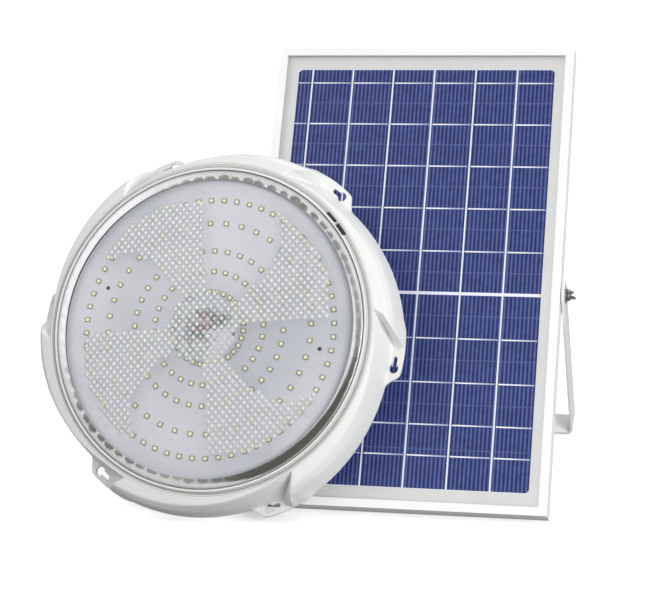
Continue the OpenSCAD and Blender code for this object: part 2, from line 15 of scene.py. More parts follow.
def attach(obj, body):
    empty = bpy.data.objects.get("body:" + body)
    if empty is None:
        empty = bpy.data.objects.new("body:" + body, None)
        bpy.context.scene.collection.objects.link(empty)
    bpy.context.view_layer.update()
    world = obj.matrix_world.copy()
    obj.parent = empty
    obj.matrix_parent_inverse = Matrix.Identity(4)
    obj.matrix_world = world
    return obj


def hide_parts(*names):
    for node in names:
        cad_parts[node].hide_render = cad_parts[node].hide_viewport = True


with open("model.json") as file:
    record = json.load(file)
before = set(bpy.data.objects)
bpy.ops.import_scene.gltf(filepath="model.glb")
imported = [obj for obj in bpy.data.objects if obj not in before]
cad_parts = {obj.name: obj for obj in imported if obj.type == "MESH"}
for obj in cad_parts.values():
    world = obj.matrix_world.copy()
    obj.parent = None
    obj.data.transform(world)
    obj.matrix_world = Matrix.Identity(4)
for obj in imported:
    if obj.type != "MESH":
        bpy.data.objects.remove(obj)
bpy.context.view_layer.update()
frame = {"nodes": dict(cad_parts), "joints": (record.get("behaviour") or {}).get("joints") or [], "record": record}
NODES = frame["nodes"]
MOUNTS = {m["name"]: m for m in frame["record"]["mounts"]}
JOINTS = {j["name"]: j for j in frame["joints"]}
MM = 0.001


# ---- frames of the panel and the lamp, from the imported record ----


def basis(origin, x_axis, z_axis):
    """Matrix with millimetre columns, from an origin in metres and two axes."""
    z = Vector(z_axis).normalized()
    x = (Vector(x_axis) - Vector(x_axis).dot(z) * z).normalized()
    y = z.cross(x)
    m = Matrix((x * MM, y * MM, z * MM)).transposed().to_4x4()
    m.translation = Vector(origin)
    return m


# Panel frame: x across from the middle, y up from the lower edge, z out of the face, from the frame's back.
# The mount panel_back lies this far left of the origin and this far up the panel.
BACK_LEFT, BACK_UP = 105, 100
back = MOUNTS["panel_back"]
panel_z = -Vector(back["axis"])
panel_y = panel_z.cross(Vector((1, 0, 0)))
panel_at = Vector(back["pos_m"]) + Vector((BACK_LEFT * MM, 0, 0)) - BACK_UP * MM * panel_y
PANEL = basis(panel_at, (1, 0, 0), panel_z)

# Lamp frame: origin at the middle of the lamp's back, z out of its face. The keyholes are half an ear up.
EAR_T = 3.0
holes = MOUNTS["lamp_keyholes"]
lamp_z = -Vector(holes["axis"])
lamp_at = Vector(holes["pos_m"]) - EAR_T / 2 * MM * lamp_z
LAMP = basis(lamp_at, Vector(MOUNTS["lamp_back"]["pos_m"]) - lamp_at, lamp_z)


# ---- materials ----


def lin(code):
    """Linear colour from a hex code."""
    v = [int(code[i : i + 2], 16) / 255 for i in (0, 2, 4)]
    return [c / 12.92 if c <= 0.04045 else ((c + 0.055) / 1.055) ** 2.4 for c in v]


class Nodes:
    """Small helper for building a material's node tree."""

    def __init__(self, name):
        self.mat = bpy.data.materials.new(name)
        self.mat.use_nodes = True
        self.tree = self.mat.node_tree
        self.tree.nodes.clear()
        self.out = self.tree.nodes.new("ShaderNodeOutputMaterial")

    def add(self, kind, **values):
        """A node, with its inputs or its properties set by name."""
        n = self.tree.nodes.new("ShaderNode" + kind)
        for k, v in values.items():
            if k in n.inputs:
                self.set(n.inputs[k], v)
            elif hasattr(n, k):
                setattr(n, k, v)
            else:
                raise KeyError(f"{kind} has no {k}")
        return n

    def set(self, socket, v):
        """Links a socket to another one, or gives it a value."""
        if isinstance(v, bpy.types.NodeSocket):
            self.tree.links.new(v, socket)
        elif isinstance(v, (list, tuple)) and socket.type == "RGBA":
            socket.default_value = list(v)[:3] + [1]
        else:
            socket.default_value = v

    def math(self, op, a, b=0.0):
        n = self.tree.nodes.new("ShaderNodeMath")
        n.operation = op
        self.set(n.inputs[0], a)
        self.set(n.inputs[1], b)
        return n.outputs[0]

    def mix(self, fac, a, b):
        n = self.tree.nodes.new("ShaderNodeMix")
        n.data_type = "RGBA"
        self.set(n.inputs[0], fac)
        self.set(n.inputs[6], a)
        self.set(n.inputs[7], b)
        return n.outputs[2]

    def place(self):
        return self.add("TexCoord").outputs["Object"]

    def noise(self, scale, detail=3.0, rough=0.55, vector=None):
        n = self.add("TexNoise", Scale=scale, Detail=detail, Roughness=rough)
        self.set(n.inputs["Vector"], vector or self.place())
        return n.outputs["Fac"]

    def ramp(self, value, low, high):
        """0 below low, 1 above high, smooth between."""
        n = self.add("MapRange", interpolation_type="SMOOTHSTEP")
        self.set(n.inputs[0], value)
        self.set(n.inputs[1], low)
        self.set(n.inputs[2], high)
        return n.outputs[0]

    def bump(self, height, depth, strength):
        return self.add("Bump", Strength=strength, Distance=depth, Height=height).outputs["Normal"]

    def shaders(self, fac, a, b):
        """One shader mixed over another."""
        n = self.add("MixShader", Fac=fac)
        self.tree.links.new(a, n.inputs[1])
        self.tree.links.new(b, n.inputs[2])
        return n.outputs[0]

    def finish(self, shader):
        self.tree.links.new(shader, self.out.inputs[0])
        return self.mat

    def surface(self, color, rough, normal, metal=0.0, spec=0.5, coat=0.0, coat_rough=0.03):
        """The finished material, from one principled shader."""
        n = self.add(
            "BsdfPrincipled",
            **{
                "Base Color": color,
                "Roughness": rough,
                "Normal": normal,
                "Metallic": metal,
                "Specular IOR Level": spec,
                "Coat Weight": coat,
                "Coat Roughness": coat_rough,
            },
        )
        return self.finish(n.outputs[0])


def moulded(name, code, rough, grain, depth, vary, coat=0.0, spec=0.5):
    """Moulded plastic, paint or rubber: faint mottling, fine grain and slightly uneven gloss."""
    n = Nodes(name)
    dark = [c * (1 - vary) for c in lin(code)]
    light = [min(1, c * (1 + vary)) for c in lin(code)]
    base = n.mix(n.ramp(n.noise(35, 4), 0.3, 0.7), dark, light)
    gloss = n.math("ADD", rough - 0.02, n.math("MULTIPLY", n.noise(220, 2), 0.04))
    normal = n.bump(n.noise(grain, 2), depth, 0.5)
    return n.surface(base, gloss, normal, spec=spec, coat=coat, coat_rough=0.3)


def brushed(name, code, rough=0.32):
    """Plated metal with fine drawn lines and duller spots."""
    n = Nodes(name)
    stretch = n.add("Mapping", Scale=(1, 1, 12))
    n.set(stretch.inputs["Vector"], n.place())
    lines = n.noise(900, 2, 0.6, stretch.outputs[0])
    spots = n.ramp(n.noise(300, 3), 0.55, 0.75)
    base = n.mix(spots, lin(code), [c * 0.72 for c in lin(code)])
    gloss = n.math("ADD", rough - 0.08, n.math("MULTIPLY", lines, 0.2))
    return n.surface(base, gloss, n.bump(lines, 0.00003, 0.4), metal=1.0)


def clear(name, tint, gloss, body):
    """Clear plastic or glass: mostly see-through, with a little white body and reflection."""
    n = Nodes(name)
    speck = n.noise(700, 2)
    through = n.add("BsdfTransparent", Color=tint).outputs[0]
    shine = n.add("BsdfGlossy", Color=[1, 1, 1], Roughness=0.06).outputs[0]
    haze = n.add("BsdfDiffuse", Color=n.mix(speck, [0.9, 0.9, 0.9], [1, 1, 1])).outputs[0]
    edge = n.add("LayerWeight", Blend=0.25).outputs["Fresnel"]
    hazy = n.shaders(n.math("ADD", body, n.math("MULTIPLY", edge, body * 1.5)), through, haze)
    return n.finish(n.shaders(n.math("MULTIPLY", n.math("ADD", edge, 0.1), gloss), hazy, shine))


def painted(name, rough, grain, coat):
    """Colour from the attribute tone, broken up by a little noise."""
    n = Nodes(name)
    col = n.add("VertexColor", layer_name="tone").outputs["Color"]
    speck = n.ramp(n.noise(grain, 2), 0.35, 0.65)
    dim = n.add("HueSaturation", Value=0.93, Color=col).outputs[0]
    return n.surface(n.mix(speck, dim, col), rough, n.bump(n.noise(grain, 2), 0.00003, 0.4), coat=coat)


def panel_coords(n):
    """(x across, y up the panel) in millimetres, as sockets."""
    pos = n.place()
    split = n.add("SeparateXYZ", Vector=pos)
    x = n.math("MULTIPLY", n.math("SUBTRACT", split.outputs[0], panel_at.x), 1000.0)
    dot = n.add("VectorMath", operation="DOT_PRODUCT")
    n.set(dot.inputs[0], pos)
    n.set(dot.inputs[1], tuple(panel_y))
    y = n.math("MULTIPLY", n.math("SUBTRACT", dot.outputs["Value"], panel_at.dot(panel_y)), 1000.0)
    return x, y


def repeats(n, value, start, pitch):
    """How far a value is through its pitch, from 0 to 1."""
    return n.math("FRACT", n.math("DIVIDE", n.math("SUBTRACT", value, start), pitch))


# Spacing of the cells, where the first full column starts, and the spacing of the finger stripes.
CELL_PITCH, COLUMN_X = 31.1, -85.55
FINGER = CELL_PITCH / 10.5
# Height of a ribbon up the panel, and the spacing of the ribbons.
RIBBON_Y, RIBBON_PITCH = 306.8, 32.8


def cell_material():
    """Blue cells with upright finger stripes, faint crystal patches and a paler edge along each ribbon."""
    n = Nodes("cell_blue_stripes")
    x, y = panel_coords(n)
    wave = n.math("SINE", n.math("MULTIPLY", x, 2 * math.pi / FINGER))
    wobble = n.math("MULTIPLY", n.math("SUBTRACT", n.noise(120, 2), 0.5), 0.35)
    stripe = n.ramp(n.math("ADD", wave, wobble), -0.4, 0.95)
    grains = n.add("TexVoronoi", Scale=260.0)
    n.set(grains.inputs["Vector"], n.place())
    patch = n.add("SeparateColor", Color=grains.outputs["Color"]).outputs[0]
    dark = n.mix(patch, lin("202a60"), lin("27326f"))
    pale = n.mix(patch, lin("4f5b90"), lin("5a669b"))
    base = n.mix(stripe, dark, pale)
    edge = n.math("LESS_THAN", repeats(n, y, RIBBON_Y, RIBBON_PITCH), 0.03)
    edge = n.math("MULTIPLY", edge, n.math("SUBTRACT", 1.0, stripe))
    base = n.mix(n.math("MULTIPLY", edge, 0.35), base, lin("6f79ad"))
    return n.surface(base, 0.42, n.bump(stripe, 0.00006, 0.3), spec=0.3)


def ribbon_material():
    """Tinned ribbon, brightest at the left of each cell and bluer at the right."""
    n = Nodes("ribbon_fade")
    x, _ = panel_coords(n)
    across = repeats(n, x, COLUMN_X, CELL_PITCH)
    fade = n.math("ADD", n.ramp(across, 0.25, 1.0), n.math("MULTIPLY", n.noise(500, 2), 0.12))
    base = n.mix(fade, lin("f4f7ff"), lin("a9b2cf"))
    return n.surface(base, 0.4, n.bump(n.noise(900, 2), 0.00003, 0.4), spec=0.4)


def film_material():
    """White film: grey-white at the border, bluish white between the cells."""
    n = Nodes("film_white")
    x, y = panel_coords(n)
    past_left, past_right = n.ramp(x, -97.5, -96.0), n.ramp(x, 95.2, 96.5)
    past_low, past_high = n.ramp(y, 15.5, 16.8), n.ramp(y, 333.2, 334.5)
    inside = n.math("MULTIPLY", past_left, n.math("SUBTRACT", 1.0, past_right))
    inside = n.math("MULTIPLY", inside, past_low)
    inside = n.math("MULTIPLY", inside, n.math("SUBTRACT", 1.0, past_high))
    edge = n.mix(n.noise(60, 3), lin("d4d4d4"), lin("dcdcdb"))
    base = n.mix(inside, edge, lin("eff2ff"))
    return n.surface(base, 0.5, n.bump(n.noise(700, 2), 0.00004, 0.4))


def board_material():
    """Silver-lavender board with faint copper areas below the mask."""
    n = Nodes("board_lavender")
    trace = n.ramp(n.noise(400, 3), 0.25, 0.5)
    tone = n.mix(n.ramp(n.noise(11, 2), 0.3, 0.7), lin("c2c5cb"), lin("dddee3"))
    base = n.mix(trace, lin("cdcfd4"), tone)
    return n.surface(base, 0.4, n.bump(trace, 0.00003, 0.4), spec=0.3)


# Moulded: name, colour, roughness, grain, depth of the grain in metres, variation.
M = {
    "frame": moulded("frame_paint", "f8f8f8", 0.4, 2200, 0.00003, 0.012),
    "key": brushed("key_alu", "c8c8cc"),
    "film": film_material(),
    "cells": cell_material(),
    "ribbon": ribbon_material(),
    "seal": moulded("seal_silicone", "a8a8a6", 0.5, 900, 0.00005, 0.03),
    "glass": clear("front_glass", [1, 1, 1], 0.012, 0.0),
    "steel": brushed("zinc_steel", "b4b4b8"),
    "bolt": brushed("wing_steel", "8f9094", 0.36),
    "black": moulded("black_plastic", "1b1b1d", 0.45, 1300, 0.00006, 0.15),
    "rubber": moulded("black_rubber", "161616", 0.6, 1000, 0.00006, 0.15, spec=0.3),
    "tie": moulded("tie_nylon", "e4e3de", 0.4, 1300, 0.00004, 0.03),
    "strap": moulded("strap_paint", "ececec", 0.42, 1900, 0.00004, 0.02),
    "housing": moulded("housing_gloss", "ebecea", 0.52, 2600, 0.000015, 0.012, coat=0.1),
    "plate": moulded("plate_matt", "deded9", 0.5, 1400, 0.00006, 0.025),
    "gasket": moulded("gasket_grey", "3c3c3c", 0.7, 900, 0.00006, 0.1, spec=0.3),
    "cover": clear("cover_clear", [0.985, 0.985, 0.99], 0.06, 0.02),
    # Painted highlights and shade of the prisms, from the attribute tone.
    "prism_painted_light": painted("cover_prism_painted_light", 0.15, 800, 0.5),
    "shoulder": painted("cover_shoulder", 0.2, 500, 0.4),
    "ring": painted("bezel_gloss", 0.4, 1500, 0.1),
    "board": board_material(),
    "chip_body": moulded("chip_olive", "8c8a60", 0.45, 1600, 0.00005, 0.1),
    "chip_lens": moulded("chip_phosphor", "f6f5d4", 0.35, 1200, 0.00005, 0.04),
    "parts": moulded("part_black", "202022", 0.4, 1500, 0.00006, 0.2),
    "white_board": moulded("board_white", "e4e4e6", 0.4, 1500, 0.00004, 0.03),
    "wrap": moulded("cell_wrap", "2c6fb0", 0.3, 800, 0.00003, 0.06),
    "nickel": brushed("nickel_tab", "d2d2cc"),
    "green": moulded("board_green", "1f6238", 0.35, 1400, 0.00005, 0.12),
    "wire": moulded("wire_red", "b32620", 0.5, 900, 0.00004, 0.08),
}


# ---- mesh helpers ----


def to_world(points, matrix):
    """Points in metres, from a local frame."""
    a = np.array(matrix)
    return np.asarray(points, float).reshape(-1, 3) @ a[:3, :3].T + a[:3, 3]


def outward(me):
    """Turns every face outwards."""
    bm = bmesh.new()
    bm.from_mesh(me)
    bmesh.ops.recalc_face_normals(bm, faces=bm.faces)
    bm.to_mesh(me)
    bm.free()


def shade(ob, sharp):
    """Smooth shading, with edges sharper than this many degrees kept."""
    me = ob.data
    me.polygons.foreach_set("use_smooth", np.ones(len(me.polygons), bool))
    me.set_sharp_from_angle(angle=math.radians(sharp))
    me.update()


def make(name, points, faces, matrix, mats, body, index=None, sharp=35, replaces=()):
    """A piece from points in a local frame, riding on a body."""
    me = bpy.data.meshes.new(name)
    me.from_pydata(to_world(points, matrix).tolist(), [], [list(map(int, f)) for f in faces])
    for m in mats:
        me.materials.append(M[m])
    if index is not None:
        me.polygons.foreach_set("material_index", np.asarray(index, np.int32))
    me.validate()
    outward(me)
    ob = bpy.data.objects.new(name, me)
    bpy.context.scene.collection.objects.link(ob)
    shade(ob, sharp)
    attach(ob, body)
    if replaces:
        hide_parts(*replaces)
    return ob


def apply_modifiers(ob):
    """Keeps the modified mesh and drops the modifiers."""
    dg = bpy.context.evaluated_depsgraph_get()
    me = bpy.data.meshes.new_from_object(ob.evaluated_get(dg))
    old = ob.data
    ob.modifiers.clear()
    ob.data = me
    bpy.data.meshes.remove(old)


def paint(ob, tones):
    """Stores one linear colour per vertex."""
    tones = np.asarray(tones, np.float32).reshape(-1, 3)
    opaque = np.concatenate([tones, np.ones((len(tones), 1), np.float32)], 1)
    layer = ob.data.color_attributes.new("tone", "FLOAT_COLOR", "POINT")
    layer.data.foreach_set("color", opaque.ravel())


def turned(x, y, degrees):
    """A point, or arrays of them, turned about the origin."""
    a = math.radians(degrees)
    return x * math.cos(a) - y * math.sin(a), x * math.sin(a) + y * math.cos(a)


def around(radius, height, directions):
    """Points on a circle about z."""
    return [(*turned(radius, 0, d), height) for d in directions]


def ring_faces(count, profile):
    """Quads between closed profiles set one after another round a closed ring."""
    i = np.arange(count)[:, None]
    j = np.arange(profile)[None, :]
    i2, j2 = (i + 1) % count, (j + 1) % profile
    quads = np.stack([i * profile + j2, i2 * profile + j2, i2 * profile + j, i * profile + j], -1)
    return quads.reshape(-1, 4)


def tube_faces(base, sides, loops):
    """Quads between closed loops set one above another, from point number base."""
    faces = []
    for low in range(base, base + (loops - 1) * sides, sides):
        for q in range(sides):
            after = (q + 1) % sides
            faces.append([low + q, low + after, low + sides + after, low + sides + q])
    return faces


def revolve(profile, angles):
    """Points of a profile of (radius, height) turned about z."""
    p = np.asarray(profile, float)
    a = np.radians(np.asarray(angles, float))[:, None]
    return np.stack([p[:, 0] * np.cos(a), p[:, 0] * np.sin(a), p[:, 1] + 0 * a], -1)


def soft_step(x, low, high):
    t = np.clip((x - low) / (high - low), 0, 1)
    return t * t * (3 - 2 * t)


# ---- lamp housing: six swept lobes with keyhole ears ----

# A lobe's own angle runs over LOBE degrees, from LOBE_START at its ear.
LOBE, LOBE_START = 60, -6.5
TOP_R, TOP_Z = 121.5, 30.0
EDGE_R = 0.9
STEPS_ROUND = 1260
# Outline: lobe angle, radius.
OUTLINE = np.array([
    (-6.5, 129.9), (-5.4, 130.4), (-4.3, 132.4), (-3.3, 134.8), (-2.5, 137.0), (-1.6, 138.0),
    (0, 138.3), (5, 138.4), (12, 138.0), (13.5, 137.2), (15, 136.4), (20, 135.6), (30, 134.0),
    (40, 132.2), (53.5, 129.9),
])
# Upper edge of the skirt, then the edge of the inner face: lobe angle, radius, height.
SKIRT = np.array([
    (5, 138.0, 3.0), (7, 137.7, 6.0), (8.2, 136.2, 14.0), (9.6, 133.9, 21.0), (20, 133.4, 20.6),
    (30, 132.2, 19.0), (45, 129.4, 15.5), (56, 127.9, 12.6), (60, 127.4, 12.0), (64, 126.7, 12.6),
    (68, 125.2, 15.5), (72, 122.6, 23.0), (76, 121.8, 29.0),
])
CREST = np.array([
    (5, 131.2, 26.6), (12, 130.5, 27.0), (33, 127.8, 27.6), (50, 125.3, 28.5), (57, 123.8, 29.2),
    (66, 122.2, 29.8), (76, 121.7, 30.0),
])
# Foot of the skirt: lobe angle, radius.
SKIRT_END = np.array([(5, 138.6), (12, 138.2), (15, 136.4), (20, 135.6), (53.5, 129.9), (80, 129.6)])
# Foot and brow of the wall that a lobe begins with: radius, lobe angle.
FOOT = np.array([
    (121.5, 9.6), (124, 7.6), (126, 6.4), (128.5, 5.5), (130.3, 5.1), (135.4, 5.6), (138.4, 6.9),
])
BROW = np.array([
    (121.5, 14.6), (126, 13.2), (130.6, 11.4), (133.8, 9.6), (136.2, 8.3), (137.6, 7.6), (138.4, 7.3),
])
# How far each lobe's wall leans round, in degrees.
BROW_TURN = [2.6, 2.4, 1.8, -0.3, -1.6, -0.3]
# Inside of the housing, from its back to the seat of the bezel: radius, height.
INSIDE = [(119.2, 0.0), (118.5, 0.6), (118.5, 24), (112.6, 24), (112.6, 25.6), (TOP_R, 25.6)]


def along(table, at, column=1):
    """A column of a table, between its rows."""
    return np.interp(at, table[:, 0], table[:, column])


def lobe_height(r, turn):
    """Height of a lobe at radius r and lobe angle turn, with its creases rounded."""
    total = 0
    s_r, s_z = along(SKIRT, turn), along(SKIRT, turn, 2)
    c_r, c_z = along(CREST, turn), along(CREST, turn, 2)
    end_r = along(SKIRT_END, turn)
    c_r = np.minimum(c_r, s_r - 0.1)
    spread = (-0.8, -0.4, 0.0, 0.4, 0.8)
    for d in spread:
        q = r + d
        inner = TOP_Z + (c_z - TOP_Z) * np.clip((q - TOP_R) / (c_r - TOP_R), 0, 1)
        slope = c_z + (s_z - c_z) * np.clip((q - c_r) / (s_r - c_r), 0, 1)
        skirt = s_z + (2.0 - s_z) * np.clip((q - s_r) / (end_r - s_r), 0, 1)
        total = total + np.where(q < c_r, inner, np.where(q < s_r, slope, skirt))
    return total / len(spread)


def housing_radii(turn, out_r):
    """Radii of the grid from the bezel to the outline, with rows along the crest and the skirt's edge."""
    new = soft_step(turn, 0, 9)
    crest = along(CREST, turn + LOBE) * (1 - new) + along(CREST, turn) * new
    skirt = along(SKIRT, turn + LOBE) * (1 - new) + along(SKIRT, turn) * new
    skirt = np.minimum(skirt, out_r - 0.5)
    crest = np.minimum(crest, skirt - 0.5)
    spans = [(np.full(len(turn), TOP_R), crest, 14), (crest, skirt, 16), (skirt, out_r, 26)]
    rows = [low[:, None] + (high - low)[:, None] * np.arange(n) / n for low, high, n in spans]
    return np.concatenate(rows + [out_r[:, None]], 1)


def housing_heights(r, turn, lobe, out_r):
    """Heights of the grid: a lobe's low tail, the wall where the next lobe begins, and that lobe's top."""
    t = np.repeat(turn[:, None], r.shape[1], 1)
    lean = np.array(BROW_TURN)[lobe][:, None] * np.clip((137.5 - r) / 10, 0, 1)
    t = np.where(t < 30, t - lean * soft_step(t, -2, 4), t - lean * (1 - soft_step(t, 30, 50)))
    foot, brow = along(FOOT, r), along(BROW, r)
    tail = lobe_height(r, t + LOBE)
    own = lobe_height(r, np.maximum(t, brow))
    rise = np.clip((t - foot) / (brow - foot), 0, 1)
    wall = EAR_T + (own - EAR_T) * (0.75 * rise + 0.25 * rise * rise * (3 - 2 * rise))
    z = np.where(t < brow, np.maximum(np.where(t < 20, tail, 0), wall), own)
    on_ear = (turn > -6.4) & (turn < 14)
    z = np.where(on_ear[:, None], np.maximum(z, EAR_T), z)
    z = 0.25 * np.roll(z, 1, 0) + 0.5 * z + 0.25 * np.roll(z, -1, 0)
    rim = np.clip(out_r[:, None] - r, 0, EDGE_R)
    return z - np.where(z < 6, EDGE_R - np.sqrt(EDGE_R * EDGE_R - (EDGE_R - rim) ** 2), 0)


def housing():
    """White shell: a grid over the lobes, closed round the back and the inside, with six keyholes."""
    a = np.arange(STEPS_ROUND) * 360 / STEPS_ROUND
    lobe = ((a - LOBE_START) // LOBE).astype(int) % 6
    turn = (a - LOBE_START) % LOBE + LOBE_START
    out_r = along(OUTLINE, turn)
    r = housing_radii(turn, out_r)
    z = housing_heights(r, turn, lobe, out_r)
    rad = np.radians(a)
    top = np.stack([r * np.cos(rad)[:, None], r * np.sin(rad)[:, None], z], -1)
    under = [(out_r, 0.6), (out_r - 0.5, 0.0)]
    under += [(np.full(STEPS_ROUND, radius), height) for radius, height in INSIDE]
    rest = [
        np.stack([q * np.cos(rad), q * np.sin(rad), np.full(STEPS_ROUND, height)], -1)
        for q, height in under
    ]
    points = np.concatenate([top, np.stack(rest, 1)], 1)
    ob = make(
        "lamp_housing_shell", points, ring_faces(STEPS_ROUND, points.shape[1]), LAMP, ["housing"],
        "lamp", sharp=32, replaces=["lamp_housing"],
    )
    cutter = keyhole_cutter()
    mod = ob.modifiers.new("keyholes", "BOOLEAN")
    mod.operation, mod.solver, mod.object = "DIFFERENCE", "MANIFOLD", cutter
    apply_modifiers(ob)
    bpy.data.objects.remove(cutter)
    shade(ob, 32)


# Keyholes: radius of their circle, wide end, half width of the slot, turn from the wide to the narrow end.
KEYHOLE_RING, KEYHOLE_R, SLOT_R, SLOT_TURN = 132.7, 3.4, 1.6, 3.1


def keyhole_outline():
    """A round hole with a slot that curves off it, at direction 0."""
    start = math.degrees(math.asin(SLOT_R / KEYHOLE_R))
    between = np.linspace(0, 1, 6)[1:-1]
    outline = []
    for s in np.linspace(start, 360 - start, 40):
        s = math.radians(s)
        outline.append((KEYHOLE_RING + KEYHOLE_R * math.sin(s), KEYHOLE_R * math.cos(s)))
    outline += [turned(KEYHOLE_RING - SLOT_R, 0, SLOT_TURN * s) for s in between]
    for s in np.linspace(-90, 90, 14):
        s = math.radians(s)
        outline.append(turned(KEYHOLE_RING + SLOT_R * math.sin(s), SLOT_R * math.cos(s), SLOT_TURN))
    outline += [turned(KEYHOLE_RING + SLOT_R, 0, SLOT_TURN * s) for s in between[::-1]]
    return np.array(outline)


def keyhole_cutter():
    """Six keyhole-shaped prisms through the ears."""
    outline = keyhole_outline()
    n = len(outline)
    points, faces = [], []
    for k in range(6):
        x, y = turned(outline[:, 0], outline[:, 1], 60 * k)
        base = len(points)
        for height in (-2, 7):
            points += [(px, py, height) for px, py in zip(x, y)]
        faces.append(list(range(base, base + n))[::-1])
        faces.append(list(range(base + n, base + 2 * n)))
        faces += tube_faces(base, n, 2)
    me = bpy.data.meshes.new("keyhole_cutter")
    me.from_pydata(to_world(points, LAMP).tolist(), [], faces)
    me.materials.append(M["housing"])
    outward(me)
    ob = bpy.data.objects.new("keyhole_cutter", me)
    bpy.context.scene.collection.objects.link(ob)
    return ob


# ---- bezel with stepped rings and two catch windows ----

# Section of the bezel: radius, height.
BEZEL = [
    (115.5, 27.8), (115.5, 31.9), (115.62, 32.3), (115.9, 32.55), (116.3, 32.6), (116.7, 32.5),
    (116.75, 32.5), (117.0, 32.35), (117.3, 31.9), (117.35, 31.8), (117.75, 31.0), (118.0, 30.0),
    (118.1, 29.5), (118.3, 29.25), (118.6, 29.3), (119.25, 29.5), (119.3, 29.55), (119.45, 29.6),
    (119.5, 29.65), (119.9, 29.7), (120.05, 29.45), (120.25, 29.72), (120.8, 29.9), (121.2, 29.85),
    (121.4, 29.6), (121.4, 27.1), (118.9, 27.1), (118.9, 27.8),
]
# Bands of painted shade in the grooves: radius, half width, depth of the shade.
GROOVE_SHADES = [
    (115.6, 0.2, 0.4), (117.35, 0.15, 0.6), (118.3, 0.35, 0.8), (119.4, 0.1, 0.3), (120.05, 0.15, 0.7),
]
# Catch windows: first and last direction, inner and outer radius.
WINDOWS = [(44.9, 49.6, 116.75, 119.5), (50.6, 55.2, 117.3, 119.3)]
# Height of the window floors, which are painted black as the shade inside the openings.
WINDOW_FLOOR = 28.2


def bezel():
    """White ring with painted shade in its grooves, and floors in the windows painted black as shade."""
    angles = set(np.arange(0, 360, 0.6).round(3))
    for first, last, _, _ in WINDOWS:
        angles |= {round(v, 3) for v in (first - 0.04, first, last, last + 0.04)}
    angles = np.array(sorted(angles))
    points = revolve(BEZEL, angles)
    rad, high = np.array(BEZEL).T
    for first, last, inner, outer in WINDOWS:
        open_there = (angles >= first - 1e-6) & (angles <= last + 1e-6)
        within = (rad > inner + 0.02) & (rad < outer - 0.02) & (high > 28)
        points[np.ix_(open_there, within, [2])] = WINDOW_FLOOR
    ob = make(
        "bezel_steps", points, ring_faces(len(angles), len(BEZEL)), LAMP, ["ring"], "lamp",
        sharp=28, replaces=["bezel_ring"],
    )
    # Share of painted shade at each radius of the section, then the ring's colour and its darkest painted shade.
    grey = np.zeros(len(rad))
    for r, half, depth in GROOVE_SHADES:
        grey = np.maximum(grey, depth * (1 - soft_step(np.abs(rad - r), half * 0.6, half * 1.6)))
    light, deep_shade = np.array(lin("ebecea")), np.array(lin("8f908a"))
    tone = np.tile(light + (deep_shade - light) * grey[:, None], (len(angles), 1, 1))
    # Painted shade: the window floors are black.
    tone[points[..., 2] == WINDOW_FLOOR] = lin("141414")
    paint(ob, tone)


# ---- clear cover: face, flat shoulder and swirl of prisms ----

# Section of the cover, as radius and height: face, outer wall, shoulder and inside.
FACE = [
    (0, 38.9), (10, 38.87), (20, 38.75), (30, 38.55), (45, 38.1), (60, 37.6), (75, 37.1), (85, 36.6),
    (95, 35.7), (102, 34.9), (106.5, 34.2), (107.6, 34.0), (108.1, 33.7), (108.3, 33.3),
]
COVER_WALL = [(118.4, 27.4), (115.2, 27.55), (115.05, 31.2), (114.7, 32.1)]
SHOULDER = [
    (114.1, 32.5), (113.3, 32.72), (112.3, 32.9), (111.2, 33.05), (110.1, 33.2), (109.2, 33.28),
    (108.6, 33.3),
]
COVER_INSIDE = [
    (0.6, 37.0), (30, 36.7), (60, 35.7), (85, 34.6), (100, 33.2), (107, 31.8), (112.3, 30.6),
    (112.6, 27.6), (112.4, 25.8), (118.4, 25.8),
]
COVER_STEPS = 828

# How the see-through shoulder looks by direction in degrees, with its light and shade painted: how dark its band
# of painted shade is, how far the band breaks into beads, the band's middle and half width from the bezel (0) to
# the face (1), the painted shade line at the face and how much painted light the rest has.
BAND_SHADE = np.array([
    (0, 0.9), (12, 0.75), (25, 0.7), (45, 0.8), (60, 0.95), (95, 1), (110, 0.95), (122, 0.5), (130, 0.1),
    (196, 0.1), (208, 0.5), (220, 0.85), (232, 1), (250, 1), (262, 0.8), (275, 0.7), (288, 0.9), (300, 1),
    (348, 1), (360, 0.9),
])
BEADED = np.array([
    (0, 0.1), (25, 0.3), (50, 0.9), (70, 1), (115, 1), (128, 0.3), (196, 0.3), (206, 1), (262, 1),
    (282, 0.6), (294, 0), (360, 0),
])
BAND_MIDDLE = np.array([
    (0, 0.32), (45, 0.66), (95, 0.8), (130, 0.86), (200, 0.9), (235, 0.72), (262, 0.82), (290, 0.75),
    (310, 0.55), (360, 0.32),
])
BAND_WIDE = np.array([
    (0, 0.2), (20, 0.18), (60, 0.3), (95, 0.34), (125, 0.16), (200, 0.16), (235, 0.36), (262, 0.22),
    (290, 0.3), (305, 0.5), (350, 0.24), (360, 0.2),
])
FACE_SHADE_LINE = np.array([(0, 0.15), (110, 0.3), (122, 0.8), (205, 0.8), (225, 0.3), (360, 0.2)])
SHOULDER_LIGHT = np.array([
    (0, 0.75), (20, 0.85), (45, 0.5), (100, 0.25), (125, 0.6), (135, 1), (195, 1), (215, 0.45),
    (262, 0.35), (360, 0.5),
])
BEAD_PITCH = 5.0


def face_z(r):
    return np.interp(r, [p[0] for p in FACE], [p[1] for p in FACE])


def scatter(number, step, size):
    """A fixed number from 0 to 1 for each whole number."""
    return np.abs(np.sin(number * step) * size) % 1


